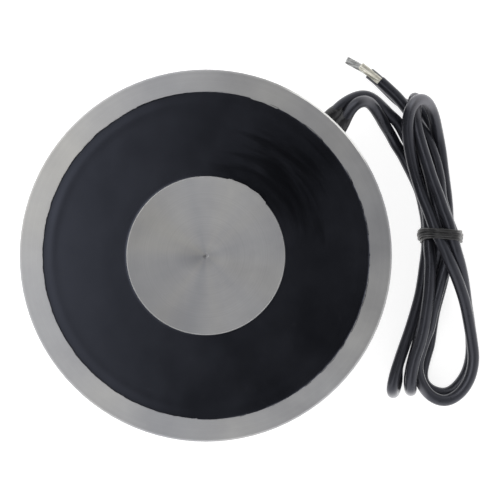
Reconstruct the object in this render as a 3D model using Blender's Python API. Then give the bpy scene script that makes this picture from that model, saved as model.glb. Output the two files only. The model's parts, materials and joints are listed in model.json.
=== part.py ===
"""A potted holding electromagnet, 80 mm across and 38 mm high, with two leads tied in a hank.

Metres, +Z towards the pole face. The back face lies on z = 0 and the Z axis is the pot's axis.
The steel pot is one turned piece. Its groove holds a bobbin with the coil, the taped coil's two
ends are spliced to the leads in the space round the coil, and black resin fills what is left.
"""

import math

import bmesh
import bpy
from mathutils import Vector

# Clearances
GAP = 0.0003
MERGE_DISTANCE = 1e-6

# Steel pot
POT_DIAMETER = 0.080
POT_HEIGHT = 0.038
BASE_THICKNESS = 0.010
RIM_WIDTH = 0.0048
FACE_CHAMFER = 0.0004
BACK_CHAMFER = 0.001
CORE_EDGE_CHAMFER = 0.0002
GROOVE_OUTER_FILLET = 0.0015
GROOVE_INNER_FILLET = 0.0006
CENTRE_MARK_DIAMETER = 0.0014
CENTRE_MARK_DEPTH = 0.0005

# Tapped hole in the back, M8, and the radial hole for the leads
THREAD_DIAMETER = 0.008
THREAD_DEPTH = 0.015
DRILL_POINT_ANGLE = math.radians(118)
THREAD_COUNTERSINK = 0.0007
LEAD_HOLE_DIAMETER = 0.0066
EXIT_RISE = 0.0035
EXIT_AZIMUTH = math.radians(47)

# Bobbin, coil and tape; the pot's core takes what they leave in the middle
WINDING_DEPTH = 0.01065
BOBBIN_TUBE_WALL = 0.0012
BOBBIN_FLANGE_THICKNESS = 0.0012
BOBBIN_BORE_CHAMFER = 0.0009
FLANGE_OVERHANG = 0.0015
WIRE_SLOT_WIDTH = 0.0014
TAPE_THICKNESS = 0.0003

# Resin: its thickness over the bobbin and round it, and how far it dips below the pole face
RESIN_COVER = 0.0037
RESIN_SKIRT = 0.0042
RESIN_RECESS = 0.0004
RESIN_EDGE_DROP = 0.0001

# Splices in the resin round the coil
MAGNET_WIRE_DIAMETER = 0.0006
MAGNET_WIRE_BEND = 0.0013
FERRULE_DIAMETER = 0.0018
FERRULE_LENGTH = 0.0040
INNER_STRIP_LENGTH = 0.0017
SLEEVE_BORE = 0.0024
SLEEVE_WALL = 0.0003
SLEEVE_OVERHANG = 0.0007
SPLICE_DISTANCE = 0.0110

# Leads: black PVC hook-up wire, 18 AWG
LEAD_DIAMETER = 0.0028
INNER_LEAD_BEND = 0.0025
CONDUCTOR_DIAMETER = 0.0012
TINNED_END_DIAMETER = 0.0016

# Resin bead round the leads
SEAL_REACH = 0.0050
SEAL_BASE_WIDTH = 0.0092
SEAL_BASE_HEIGHT = 0.0066
SEAL_TIP_WIDTH = 0.0074
SEAL_TIP_HEIGHT = 0.0044

# Hank and its band
HANK_HEIGHT = 0.0094
HANK_EDGE_ROUND = 0.0011
WAIST_CENTRE = (0.0562, 0.0047)
WAIST_WIDTH = 0.0086
WAIST_LOW = 0.0013
WAIST_HIGH = 0.0089
WAIST_CORNER = 0.0024
BAND_THICKNESS = 0.0010
BAND_WIDTH = 0.0040
BAND_TURNS = 4

# Facets
POT_SEGMENTS = 96
COIL_SEGMENTS = 72
TUBE_SIDES = 12
CORD_BEVEL_RESOLUTION = 2
CORD_POINT_SPACING = LEAD_DIAMETER
WIRE_POINT_SPACING = 0.0008

# Routes, from the wall outwards, as the leads lie
TAIL_1_ROUTE = [
    (0.0341, 0.0382, 0.0126),
    (0.0366, 0.0387, 0.0119),
    (0.0392, 0.0383, 0.0109),
    (0.0416, 0.0366, 0.0096),
    (0.0438, 0.0345, 0.0082),
    (0.0457, 0.0322, 0.0078),
]
TAIL_2_ROUTE = [
    (0.0354, 0.0355, 0.0144),
    (0.0370, 0.0362, 0.0147),
    (0.0385, 0.0354, 0.0137),
    (0.0400, 0.0336, 0.0113),
    (0.0417, 0.0316, 0.0082),
    (0.0436, 0.0292, 0.0056),
    (0.0452, 0.0271, 0.0045),
    (0.0469, 0.0249, 0.0043),
]
END_1_ROUTE = [
    (0.0474, 0.0372, 0.0015),
    (0.0458, 0.0389, 0.0015),
    (0.0435, 0.0412, 0.0015),
    (0.0413, 0.0434, 0.0015),
    (0.0391, 0.0452, 0.0015),
]
END_2_ROUTE = [
    (0.0474, 0.0371, 0.0046),
    (0.0458, 0.0387, 0.0046),
    (0.0437, 0.0406, 0.0046),
    (0.0414, 0.0427, 0.0046),
]
CONDUCTOR_1_ROUTE = [
    (0.0391, 0.0452, 0.0015),
    (0.0363, 0.0469, 0.0014),
    (0.0338, 0.0484, 0.0012),
]
CONDUCTOR_2_ROUTE = [
    (0.0414, 0.0427, 0.0046),
    (0.0390, 0.0447, 0.0042),
    (0.0368, 0.0466, 0.0038),
]

# Outline of the hank seen from above, in smooth stretches between its shoulders
HANK_RIGHT_SIDE = [
    (0.0491, 0.0386),
    (0.0512, 0.0397),
    (0.0538, 0.0386),
    (0.0561, 0.0346),
    (0.0576, 0.0270),
    (0.0594, 0.0154),
    (0.0607, 0.0050),
    (0.0628, -0.0040),
    (0.0651, -0.0148),
    (0.0660, -0.0230),
    (0.0654, -0.0288),
    (0.0628, -0.0345),
    (0.0573, -0.0372),
    (0.0524, -0.0349),
]
HANK_FOLD_2 = [
    (0.0511, -0.0339),
    (0.0499, -0.0348),
    (0.0486, -0.0346),
    (0.0477, -0.0334),
]
HANK_FOLD_1 = [
    (0.0468, -0.0346),
    (0.0452, -0.0355),
    (0.0437, -0.0346),
    (0.0433, -0.0326),
    (0.0443, -0.0288),
    (0.0475, -0.0188),
    (0.0497, -0.0119),
    (0.0514, -0.0045),
    (0.0516, 0.0050),
    (0.0505, 0.0128),
    (0.0478, 0.0203),
]
HANK_WINDOW = [
    (0.0588, -0.0036),
    (0.0606, -0.0085),
    (0.0620, -0.0138),
    (0.0628, -0.0208),
    (0.0624, -0.0262),
    (0.0610, -0.0300),
    (0.0588, -0.0323),
    (0.0563, -0.0330),
    (0.0542, -0.0320),
    (0.0530, -0.0296),
    (0.0539, -0.0259),
    (0.0553, -0.0185),
    (0.0573, -0.0098),
]
HANK_BESIDE_TAIL_2 = (0.04635, 0.0291)

POT_RADIUS = POT_DIAMETER / 2
GROOVE_OUTER_RADIUS = POT_RADIUS - RIM_WIDTH
LEAD_RADIUS = LEAD_DIAMETER / 2
EXIT_HEIGHT = BASE_THICKNESS + EXIT_RISE
BOBBIN_LOW = BASE_THICKNESS + GAP
BOBBIN_HIGH = POT_HEIGHT - RESIN_COVER
COIL_LOW = BOBBIN_LOW + BOBBIN_FLANGE_THICKNESS + GAP
COIL_HIGH = BOBBIN_HIGH - BOBBIN_FLANGE_THICKNESS - GAP
BOBBIN_FLANGE_RADIUS = GROOVE_OUTER_RADIUS - RESIN_SKIRT
COIL_OUTER_RADIUS = BOBBIN_FLANGE_RADIUS - FLANGE_OVERHANG
COIL_INNER_RADIUS = COIL_OUTER_RADIUS - WINDING_DEPTH
BOBBIN_TUBE_RADIUS = COIL_INNER_RADIUS - GAP
BOBBIN_BORE_RADIUS = BOBBIN_TUBE_RADIUS - BOBBIN_TUBE_WALL
CORE_RADIUS = BOBBIN_BORE_RADIUS - GAP
TAPE_INNER_RADIUS = COIL_OUTER_RADIUS + GAP
TAPE_OUTER_RADIUS = TAPE_INNER_RADIUS + TAPE_THICKNESS
SKIRT_RADIUS = (TAPE_OUTER_RADIUS + GROOVE_OUTER_RADIUS) / 2
LEAD_OFFSET = (LEAD_DIAMETER + GAP) / 2
SEAL_END_RADIUS = POT_RADIUS + SEAL_REACH


def clear_scene():
    """Remove every object that the scene starts with."""
    for obj in list(bpy.data.objects):
        bpy.data.objects.remove(obj, do_unlink=True)


def make_material(name, colour, roughness, metallic=0.0):
    """Return a Principled BSDF material of one colour."""
    material = bpy.data.materials.new(name)
    material.use_nodes = True
    shader = material.node_tree.nodes["Principled BSDF"]
    shader.inputs["Base Color"].default_value = (*colour, 1.0)
    shader.inputs["Roughness"].default_value = roughness
    shader.inputs["Metallic"].default_value = metallic
    return material


def add_solid(name, bm, material):
    """Turn a bmesh into an object, shaded smooth where its faces meet at a low angle."""
    bmesh.ops.recalc_face_normals(bm, faces=bm.faces)
    mesh = bpy.data.meshes.new(name)
    bm.to_mesh(mesh)
    bm.free()
    mesh.shade_smooth()
    mesh.set_sharp_from_angle(angle=math.radians(35))
    mesh.materials.append(material)
    obj = bpy.data.objects.new(name, mesh)
    bpy.context.scene.collection.objects.link(obj)
    return obj


def add_cutter(name, bm):
    """Turn a bmesh into a helper that only cuts, and is itself left out of the part."""
    cutter = add_solid(name, bm, bpy.data.materials["cutter"])
    cutter.hide_render = True
    cutter.display_type = "WIRE"
    return cutter


def cut(obj, cutter):
    """Take the cutter's shape out of the object."""
    modifier = obj.modifiers.new("cut_" + cutter.name, "BOOLEAN")
    modifier.operation = "DIFFERENCE"
    modifier.solver = "EXACT"
    modifier.object = cutter


def fillet(centre, radius, start, end, steps):
    """Points of an arc in the (radius, height) plane, with the angles in degrees."""
    angles = [math.radians(start + (end - start) * k / steps) for k in range(steps + 1)]
    return [(centre[0] + radius * math.cos(a), centre[1] + radius * math.sin(a)) for a in angles]


def turned(profile, segments):
    """Spin a (radius, height) outline about the Z axis; one that touches the axis stays open there."""
    bm = bmesh.new()
    points = [bm.verts.new((radius, 0.0, height)) for radius, height in profile]
    pairs = list(zip(points, points[1:]))
    if profile[0][0] > 0:
        pairs.append((points[-1], points[0]))
    edges = [bm.edges.new(pair) for pair in pairs]
    bmesh.ops.spin(
        bm,
        geom=points + edges,
        cent=(0, 0, 0),
        axis=(0, 0, 1),
        angle=math.tau,
        steps=segments,
        use_merge=True,
    )
    bmesh.ops.remove_doubles(bm, verts=bm.verts, dist=MERGE_DISTANCE)
    return bm


def smooth_points(points, closed=False, steps=6):
    """Points of a smooth curve through the given ones, two or three numbers each."""
    points = [Vector((*point, 0.0)) if len(point) == 2 else Vector(point) for point in points]
    size = len(points)
    found = []
    for k in range(size if closed else size - 1):
        if closed:
            a, b, c, d = (points[(k + shift) % size] for shift in (-1, 0, 1, 2))
        else:
            a, b, c, d = (points[min(max(k + shift, 0), size - 1)] for shift in (-1, 0, 1, 2))
        for step in range(steps):
            t = step / steps
            found.append(
                0.5
                * (
                    2 * b
                    + (c - a) * t
                    + (2 * a - 5 * b + 4 * c - d) * t * t
                    + (3 * b - a - 3 * c + d) * t * t * t
                )
            )
    if not closed:
        found.append(points[-1])
    return found


def spaced_points(points, spacing):
    """Points at even distances along a smooth curve through the route's points."""
    fine = smooth_points(points, steps=24)
    reach = [0.0]
    for a, b in zip(fine, fine[1:]):
        reach.append(reach[-1] + (b - a).length)
    count = max(2, round(reach[-1] / spacing))
    found = []
    place = 0
    for k in range(count + 1):
        target = reach[-1] * k / count
        while place < len(reach) - 2 and reach[place + 1] < target:
            place += 1
        share = (target - reach[place]) / (reach[place + 1] - reach[place])
        found.append(fine[place].lerp(fine[place + 1], share))
    return found


def tube(points, outer_radius, sides, inner_radius=None):
    """Sweep a circle along the points, or a ring where an inner radius is given."""
    bm = bmesh.new()
    points = [Vector(point) for point in points]
    normal = (points[1] - points[0]).orthogonal().normalized()
    outer, inner = [], []
    for k, point in enumerate(points):
        ahead = points[min(k + 1, len(points) - 1)] - points[max(k - 1, 0)]
        tangent = ahead.normalized()
        normal = (normal - tangent * normal.dot(tangent)).normalized()
        side = tangent.cross(normal)
        around = [
            normal * math.cos(math.tau * j / sides) + side * math.sin(math.tau * j / sides)
            for j in range(sides)
        ]
        outer.append([bm.verts.new(point + outer_radius * arm) for arm in around])
        if inner_radius:
            inner.append([bm.verts.new(point + inner_radius * arm) for arm in around])
    for rings in (outer, inner):
        for ring, following in zip(rings, rings[1:]):
            for j in range(sides):
                nxt = (j + 1) % sides
                bm.faces.new((ring[j], ring[nxt], following[nxt], following[j]))
    for end in (0, -1):
        if not inner_radius:
            bm.faces.new(outer[end])
            continue
        for j in range(sides):
            nxt = (j + 1) % sides
            bm.faces.new((outer[end][j], outer[end][nxt], inner[end][nxt], inner[end][j]))
    return bm


def prism(outline, low, high):
    """Extrude a flat outline from one height to another."""
    bm = bmesh.new()
    face = bm.faces.new([bm.verts.new((point[0], point[1], low)) for point in outline])
    risen = bmesh.ops.extrude_face_region(bm, geom=[face])["geom"]
    risen = [item for item in risen if isinstance(item, bmesh.types.BMVert)]
    bmesh.ops.translate(bm, verts=risen, vec=(0, 0, high - low))
    return bm


def polar(radius, azimuth, height):
    """A point given by its distance from the axis, its direction and its height."""
    return Vector((radius * math.cos(azimuth), radius * math.sin(azimuth), height))


def exit_point(radius, offset):
    """A point on the lead hole's level, this far from the pot's axis and beside the hole's axis."""
    across = Vector((-math.sin(EXIT_AZIMUTH), math.cos(EXIT_AZIMUTH), 0.0))
    return polar(radius, EXIT_AZIMUTH, EXIT_HEIGHT) + offset * across


def skirt_point(side, distance, radius=SKIRT_RADIUS, height=EXIT_HEIGHT):
    """A point round the coil, this far along the skirt from the lead hole, on one side of it."""
    return polar(radius, EXIT_AZIMUTH + side * distance / SKIRT_RADIUS, height)


def pot_profile():
    """The pot's section, from the tapped hole's drill point round to the centre mark on the face."""
    thread_radius = THREAD_DIAMETER / 2
    drill_point = thread_radius / math.tan(DRILL_POINT_ANGLE / 2)
    outer = (GROOVE_OUTER_RADIUS - GROOVE_OUTER_FILLET, BASE_THICKNESS + GROOVE_OUTER_FILLET)
    inner = (CORE_RADIUS + GROOVE_INNER_FILLET, BASE_THICKNESS + GROOVE_INNER_FILLET)
    return [
        (0.0, THREAD_DEPTH + drill_point),
        (thread_radius, THREAD_DEPTH),
        (thread_radius, THREAD_COUNTERSINK),
        (thread_radius + THREAD_COUNTERSINK, 0.0),
        (POT_RADIUS - BACK_CHAMFER, 0.0),
        (POT_RADIUS, BACK_CHAMFER),
        (POT_RADIUS, POT_HEIGHT - FACE_CHAMFER),
        (POT_RADIUS - FACE_CHAMFER, POT_HEIGHT),
        (GROOVE_OUTER_RADIUS, POT_HEIGHT),
        *fillet(outer, GROOVE_OUTER_FILLET, 0, -90, 3),
        *fillet(inner, GROOVE_INNER_FILLET, -90, -180, 2),
        (CORE_RADIUS, POT_HEIGHT - CORE_EDGE_CHAMFER),
        (CORE_RADIUS - CORE_EDGE_CHAMFER, POT_HEIGHT),
        (CENTRE_MARK_DIAMETER / 2, POT_HEIGHT),
        (0.0, POT_HEIGHT - CENTRE_MARK_DEPTH),
    ]


def make_pot():
    """The steel pot, with its lead hole drilled through the wall just above the base."""
    pot = add_solid("pot_body", turned(pot_profile(), POT_SEGMENTS), bpy.data.materials["steel"])
    margin = LEAD_HOLE_DIAMETER / 2
    drill = [exit_point(GROOVE_OUTER_RADIUS - margin, 0), exit_point(POT_RADIUS + margin, 0)]
    cut(pot, add_cutter("lead_hole", tube(drill, LEAD_HOLE_DIAMETER / 2, 2 * TUBE_SIDES)))


def make_bobbin():
    """The moulded former: a tube on the core with two flanges, the lower one slotted for a wire."""
    low_flange = BOBBIN_LOW + BOBBIN_FLANGE_THICKNESS
    high_flange = BOBBIN_HIGH - BOBBIN_FLANGE_THICKNESS
    profile = [
        (BOBBIN_BORE_RADIUS + BOBBIN_BORE_CHAMFER, BOBBIN_LOW),
        (BOBBIN_FLANGE_RADIUS, BOBBIN_LOW),
        (BOBBIN_FLANGE_RADIUS, low_flange),
        (BOBBIN_TUBE_RADIUS, low_flange),
        (BOBBIN_TUBE_RADIUS, high_flange),
        (BOBBIN_FLANGE_RADIUS, high_flange),
        (BOBBIN_FLANGE_RADIUS, BOBBIN_HIGH),
        (BOBBIN_BORE_RADIUS, BOBBIN_HIGH),
        (BOBBIN_BORE_RADIUS, BOBBIN_LOW + BOBBIN_BORE_CHAMFER),
    ]
    bobbin = add_solid("coil_bobbin", turned(profile, COIL_SEGMENTS), bpy.data.materials["nylon"])
    slot = [start_wire_point(COIL_INNER_RADIUS), start_wire_point(BOBBIN_FLANGE_RADIUS + GAP)]
    along = (slot[1] - slot[0]).normalized()
    across = Vector((-along.y, along.x, 0.0)) * WIRE_SLOT_WIDTH / 2
    corners = [slot[0] - across, slot[1] - across, slot[1] + across, slot[0] + across]
    cut(bobbin, add_cutter("wire_slot", prism(corners, BOBBIN_LOW - GAP, COIL_LOW)))


def make_coil():
    """The winding and the tape round it, which the finish wire passes through."""
    winding = [
        (COIL_INNER_RADIUS, COIL_LOW),
        (COIL_OUTER_RADIUS, COIL_LOW),
        (COIL_OUTER_RADIUS, COIL_HIGH),
        (COIL_INNER_RADIUS, COIL_HIGH),
    ]
    add_solid("coil_winding", turned(winding, COIL_SEGMENTS), bpy.data.materials["copper"])
    band = [
        (TAPE_INNER_RADIUS, COIL_LOW),
        (TAPE_OUTER_RADIUS, COIL_LOW),
        (TAPE_OUTER_RADIUS, COIL_HIGH),
        (TAPE_INNER_RADIUS, COIL_HIGH),
    ]
    tape = add_solid("winding_tape", turned(band, COIL_SEGMENTS), bpy.data.materials["tape"])
    hole = tube(finish_wire_points(), MAGNET_WIRE_DIAMETER / 2 + GAP, TUBE_SIDES)
    cut(tape, add_cutter("tape_hole", hole))


def start_wire_point(radius):
    """A point of the start wire where it runs out through the lower flange's slot."""
    run = splice_places()["wire"] + 4 * MAGNET_WIRE_BEND
    return skirt_point(-1, run, radius, BOBBIN_LOW + BOBBIN_FLANGE_THICKNESS / 2)


def splice_places():
    """Distances along the skirt at which each piece of a splice starts, from the lead to the coil."""
    conductor = SPLICE_DISTANCE + GAP
    ferrule = conductor + INNER_STRIP_LENGTH + GAP
    wire = ferrule + FERRULE_LENGTH + GAP
    return {"conductor": conductor, "ferrule": ferrule, "wire": wire}


def inner_lead_points(side):
    """A lead's run inside the pot: in through the seal and the wall, then round beside the coil."""
    corner = (SKIRT_RADIUS + INNER_LEAD_BEND, LEAD_OFFSET + INNER_LEAD_BEND)
    turn = fillet(corner, INNER_LEAD_BEND, -90, -180, 3)
    inside = [
        exit_point(SEAL_END_RADIUS, side * LEAD_OFFSET),
        exit_point((SEAL_END_RADIUS + corner[0]) / 2, side * LEAD_OFFSET),
    ]
    inside += [skirt_point(side, beside, radius) for radius, beside in turn]
    inside += arc_points(side, (corner[1] + SPLICE_DISTANCE) / 2, SPLICE_DISTANCE)
    return spaced_points(inside, LEAD_RADIUS)


def arc_points(side, start, end):
    """A stretch of the skirt's arc between two distances from the lead hole."""
    steps = 4
    return [skirt_point(side, start + (end - start) * k / steps) for k in range(steps + 1)]


def finish_wire_points():
    """The coil's outer end, from its splice in through the tape."""
    wire = splice_places()["wire"]
    bend = MAGNET_WIRE_BEND
    middle = (SKIRT_RADIUS + TAPE_OUTER_RADIUS) / 2
    route = [
        skirt_point(1, wire),
        skirt_point(1, wire + bend),
        skirt_point(1, wire + 2 * bend, middle + bend / 2),
        skirt_point(1, wire + 3 * bend, middle - bend / 2),
        skirt_point(1, wire + 3.5 * bend, TAPE_INNER_RADIUS),
    ]
    return spaced_points(route, WIRE_POINT_SPACING)


def start_wire_points():
    """The coil's inner end, from its splice down beside the lower flange and in through its slot."""
    wire = splice_places()["wire"]
    bend = MAGNET_WIRE_BEND
    level = BOBBIN_LOW + BOBBIN_FLANGE_THICKNESS / 2
    middle = (EXIT_HEIGHT + level) / 2
    outside = BOBBIN_FLANGE_RADIUS + bend
    route = [
        skirt_point(-1, wire),
        skirt_point(-1, wire + bend),
        skirt_point(-1, wire + 2 * bend, SKIRT_RADIUS, middle + bend / 2),
        skirt_point(-1, wire + 3 * bend, outside, middle - bend / 2),
        start_wire_point(outside - bend / 4),
        start_wire_point(BOBBIN_FLANGE_RADIUS - bend),
        start_wire_point((BOBBIN_FLANGE_RADIUS + COIL_INNER_RADIUS) / 2),
        start_wire_point(COIL_INNER_RADIUS + bend),
    ]
    return spaced_points(route, WIRE_POINT_SPACING)


def make_splices():
    """Both splices: the lead's stripped end, a ferrule, a sleeve over them and the coil's wire."""
    places = splice_places()
    wires = {1: finish_wire_points(), -1: start_wire_points()}
    for side, lead, end in ((1, "lead_1", "finish"), (-1, "lead_2", "start")):
        conductor = arc_points(
            side, places["conductor"], places["conductor"] + INNER_STRIP_LENGTH
        )
        ferrule = arc_points(side, places["ferrule"], places["ferrule"] + FERRULE_LENGTH)
        sleeve = arc_points(side, places["conductor"], places["wire"] + SLEEVE_OVERHANG)
        add_solid(
            lead + "_inner",
            tube(inner_lead_points(side), LEAD_RADIUS, TUBE_SIDES),
            bpy.data.materials["black_pvc"],
        )
        add_solid(
            lead + "_inner_conductor",
            tube(conductor, CONDUCTOR_DIAMETER / 2, TUBE_SIDES),
            bpy.data.materials["tinned_copper"],
        )
        add_solid(
            end + "_splice",
            tube(ferrule, FERRULE_DIAMETER / 2, TUBE_SIDES),
            bpy.data.materials["tinned_copper"],
        )
        add_solid(
            end + "_sleeve",
            tube(sleeve, SLEEVE_BORE / 2 + SLEEVE_WALL, TUBE_SIDES, SLEEVE_BORE / 2),
            bpy.data.materials["sleeve"],
        )
        add_solid(
            end + "_wire",
            tube(wires[side], MAGNET_WIRE_DIAMETER / 2, TUBE_SIDES),
            bpy.data.materials["copper"],
        )


def resin_profile():
    """The resin's section: it covers the bobbin, grips its flanges and dips slightly between poles."""
    inner = CORE_RADIUS + GAP
    outer = GROOVE_OUTER_RADIUS - GAP
    flange = BOBBIN_FLANGE_RADIUS + GAP
    tape = TAPE_OUTER_RADIUS + GAP
    corner = (GROOVE_OUTER_RADIUS - GROOVE_OUTER_FILLET, BASE_THICKNESS + GROOVE_OUTER_FILLET)
    surface = []
    steps = 4
    for k in range(steps + 1):
        share = 2 * k / steps - 1
        radius = (outer + inner) / 2 - share * (outer - inner) / 2
        drop = RESIN_EDGE_DROP + (RESIN_RECESS - RESIN_EDGE_DROP) * (1 - share**4)
        surface.append((radius, POT_HEIGHT - drop))
    return [
        *surface,
        (inner, BOBBIN_HIGH + GAP),
        (flange, BOBBIN_HIGH + GAP),
        (flange, COIL_HIGH),
        (tape, COIL_HIGH),
        (tape, COIL_LOW),
        (flange, COIL_LOW),
        (flange, BASE_THICKNESS + GAP),
        *fillet(corner, GROOVE_OUTER_FILLET - GAP, -90, 0, 3),
    ]


def make_resin():
    """The cast resin, with its own hollow round each lead, sleeve and wire in it."""
    resin = add_solid(
        "potting_resin", turned(resin_profile(), COIL_SEGMENTS), bpy.data.materials["resin"]
    )
    places = splice_places()
    wires = {1: finish_wire_points(), -1: start_wire_points()}
    for side, lead in ((1, "lead_1"), (-1, "lead_2")):
        run = inner_lead_points(side)
        sleeve = arc_points(side, SPLICE_DISTANCE - GAP, places["wire"] + SLEEVE_OVERHANG + GAP)
        room = SLEEVE_BORE / 2 + SLEEVE_WALL + GAP
        cut(resin, add_cutter(lead + "_run", tube(run, LEAD_RADIUS + GAP, TUBE_SIDES)))
        cut(resin, add_cutter(lead + "_splice", tube(sleeve, room, TUBE_SIDES)))
        wire_room = tube(wires[side], MAGNET_WIRE_DIAMETER / 2 + GAP, TUBE_SIDES)
        cut(resin, add_cutter(lead + "_wire", wire_room))


def make_seal():
    """The resin bead on the wall, oval round the two leads and flared where it meets the steel."""
    bm = bmesh.new()
    sides = 2 * TUBE_SIDES
    steps = 6
    start = POT_RADIUS - LEAD_RADIUS
    rings = []
    for k in range(steps + 1):
        share = k / steps
        radius = start + (SEAL_END_RADIUS - start) * share
        flare = (1 - share) ** 2
        width = SEAL_TIP_WIDTH + (SEAL_BASE_WIDTH - SEAL_TIP_WIDTH) * flare
        height = SEAL_TIP_HEIGHT + (SEAL_BASE_HEIGHT - SEAL_TIP_HEIGHT) * flare
        ring = []
        for j in range(sides):
            angle = math.tau * j / sides
            point = exit_point(radius, width / 2 * math.cos(angle))
            point.z += height / 2 * math.sin(angle)
            ring.append(bm.verts.new(point))
        rings.append(ring)
    for ring, following in zip(rings, rings[1:]):
        for j in range(sides):
            nxt = (j + 1) % sides
            bm.faces.new((ring[j], ring[nxt], following[nxt], following[j]))
    bm.faces.new(rings[0])
    bm.faces.new(rings[-1])
    seal = add_solid("lead_exit_seal", bm, bpy.data.materials["resin"])
    wall = [(POT_RADIUS + GAP, 0.0), (POT_RADIUS + GAP, POT_HEIGHT)]
    wall += [(CORE_RADIUS, POT_HEIGHT), (CORE_RADIUS, 0.0)]
    cut(seal, add_cutter("wall_outside", turned(wall, POT_SEGMENTS)))
    cut(seal, add_cutter("seal_bore", lead_pair_bore()))


def lead_pair_bore():
    """A round-ended slot that clears both leads side by side, past both ends of the seal."""
    radius = LEAD_RADIUS + GAP
    outline = []
    for side, turn in ((1, -90), (-1, 90)):
        for k in range(TUBE_SIDES + 1):
            angle = math.radians(turn + 180 * k / TUBE_SIDES)
            outline.append((side * LEAD_OFFSET + radius * math.cos(angle), radius * math.sin(angle)))
    bm = bmesh.new()
    face = []
    for offset, rise in outline:
        point = exit_point(GROOVE_OUTER_RADIUS, offset)
        point.z += rise
        face.append(bm.verts.new(point))
    start = bm.faces.new(face)
    risen = bmesh.ops.extrude_face_region(bm, geom=[start])["geom"]
    risen = [item for item in risen if isinstance(item, bmesh.types.BMVert)]
    length = SEAL_END_RADIUS + LEAD_RADIUS - GROOVE_OUTER_RADIUS
    bmesh.ops.translate(bm, verts=risen, vec=polar(length, EXIT_AZIMUTH, 0.0))
    return bm


def add_cord(name, route, radius, material):
    """A cord as a curve with a round bevel and filled caps, on points along a smooth route."""
    curve = bpy.data.curves.new(name, "CURVE")
    curve.dimensions = "3D"
    curve.bevel_depth = radius
    curve.bevel_resolution = CORD_BEVEL_RESOLUTION
    curve.use_fill_caps = True
    points = spaced_points(route, CORD_POINT_SPACING)
    spline = curve.splines.new("POLY")
    spline.points.add(len(points) - 1)
    for place, point in zip(spline.points, points):
        place.co = (*point, 1.0)
    curve.materials.append(material)
    obj = bpy.data.objects.new(name, curve)
    bpy.context.scene.collection.objects.link(obj)


def shortened(route, distance):
    """The route with its start moved on by a small distance."""
    first, second = Vector(route[0]), Vector(route[1])
    return [first + (second - first).normalized() * distance, *route[1:]]


def make_leads():
    """The leads' free stretches: from the seal to the hank, and from the hank to the tinned ends."""
    pvc = bpy.data.materials["black_pvc"]
    tin = bpy.data.materials["tinned_copper"]
    for side, name, route in ((1, "lead_1", TAIL_1_ROUTE), (-1, "lead_2", TAIL_2_ROUTE)):
        start = SEAL_END_RADIUS + GAP
        straight = [exit_point(start + LEAD_DIAMETER * k, side * LEAD_OFFSET) for k in (0, 1)]
        add_cord(name + "_tail", [*straight, *route], LEAD_RADIUS, pvc)
    for name, route in (("lead_1", END_1_ROUTE), ("lead_2", END_2_ROUTE)):
        add_cord(name + "_end", route, LEAD_RADIUS, pvc)
    for name, route in (("lead_1", CONDUCTOR_1_ROUTE), ("lead_2", CONDUCTOR_2_ROUTE)):
        bare = shortened(route, GAP)
        add_cord(name + "_conductor", bare, TINNED_END_DIAMETER / 2, tin)


def shoulder(route_end, before_end, left, right):
    """Two corners of the hank's face that a lead runs into, on the lead's left and right."""
    end = Vector(route_end).to_2d()
    ahead = (end - Vector(before_end).to_2d()).normalized()
    leftward = Vector((-ahead.y, ahead.x))
    face = end + GAP * ahead
    return [face + left * leftward, face - right * leftward]


def hank_outline():
    """The hank's outline, clockwise from the face where the free ends leave it."""
    wide = LEAD_RADIUS + GAP
    ends = shoulder(END_1_ROUTE[0], END_1_ROUTE[1], wide, wide)
    tail_1 = shoulder(TAIL_1_ROUTE[-1], TAIL_1_ROUTE[-2], wide, LEAD_RADIUS - 2 * GAP)
    tail_2 = shoulder(TAIL_2_ROUTE[-1], TAIL_2_ROUTE[-2], wide, wide)
    outline = [point.to_2d() for point in smooth_points(HANK_RIGHT_SIDE, steps=3)]
    outline += [point.to_2d() for point in smooth_points(HANK_FOLD_2, steps=2)]
    outline += [point.to_2d() for point in smooth_points(HANK_FOLD_1, steps=3)]
    outline += [tail_2[1], tail_2[0], Vector(HANK_BESIDE_TAIL_2), tail_1[1], tail_1[0]]
    outline += [ends[1], ends[0]]
    return outline


def waist_outline(extra):
    """A rounded rectangle in the (x, z) plane, this far outside the tied waist."""
    low, high = WAIST_LOW - extra, WAIST_HIGH + extra
    left = WAIST_CENTRE[0] - WAIST_WIDTH / 2 - extra
    right = WAIST_CENTRE[0] + WAIST_WIDTH / 2 + extra
    corner = WAIST_CORNER + extra
    return [
        *fillet((right - corner, high - corner), corner, 90, 0, 5),
        *fillet((right - corner, low + corner), corner, 0, -90, 5),
        *fillet((left + corner, low + corner), corner, -90, -180, 5),
        *fillet((left + corner, high - corner), corner, 180, 90, 5),
    ]


def ring_round_waist(section):
    """Sweep a section of (along the hank, outwards) points round the waist."""
    bm = bmesh.new()
    rows = []
    for along, outwards in section:
        outline = waist_outline(outwards)
        rows.append([bm.verts.new((x, WAIST_CENTRE[1] + along, z)) for x, z in outline])
    count = len(rows[0])
    for k, row in enumerate(rows):
        following = rows[(k + 1) % len(rows)]
        for j in range(count):
            nxt = (j + 1) % count
            bm.faces.new((row[j], row[nxt], following[nxt], following[j]))
    return bm


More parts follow.
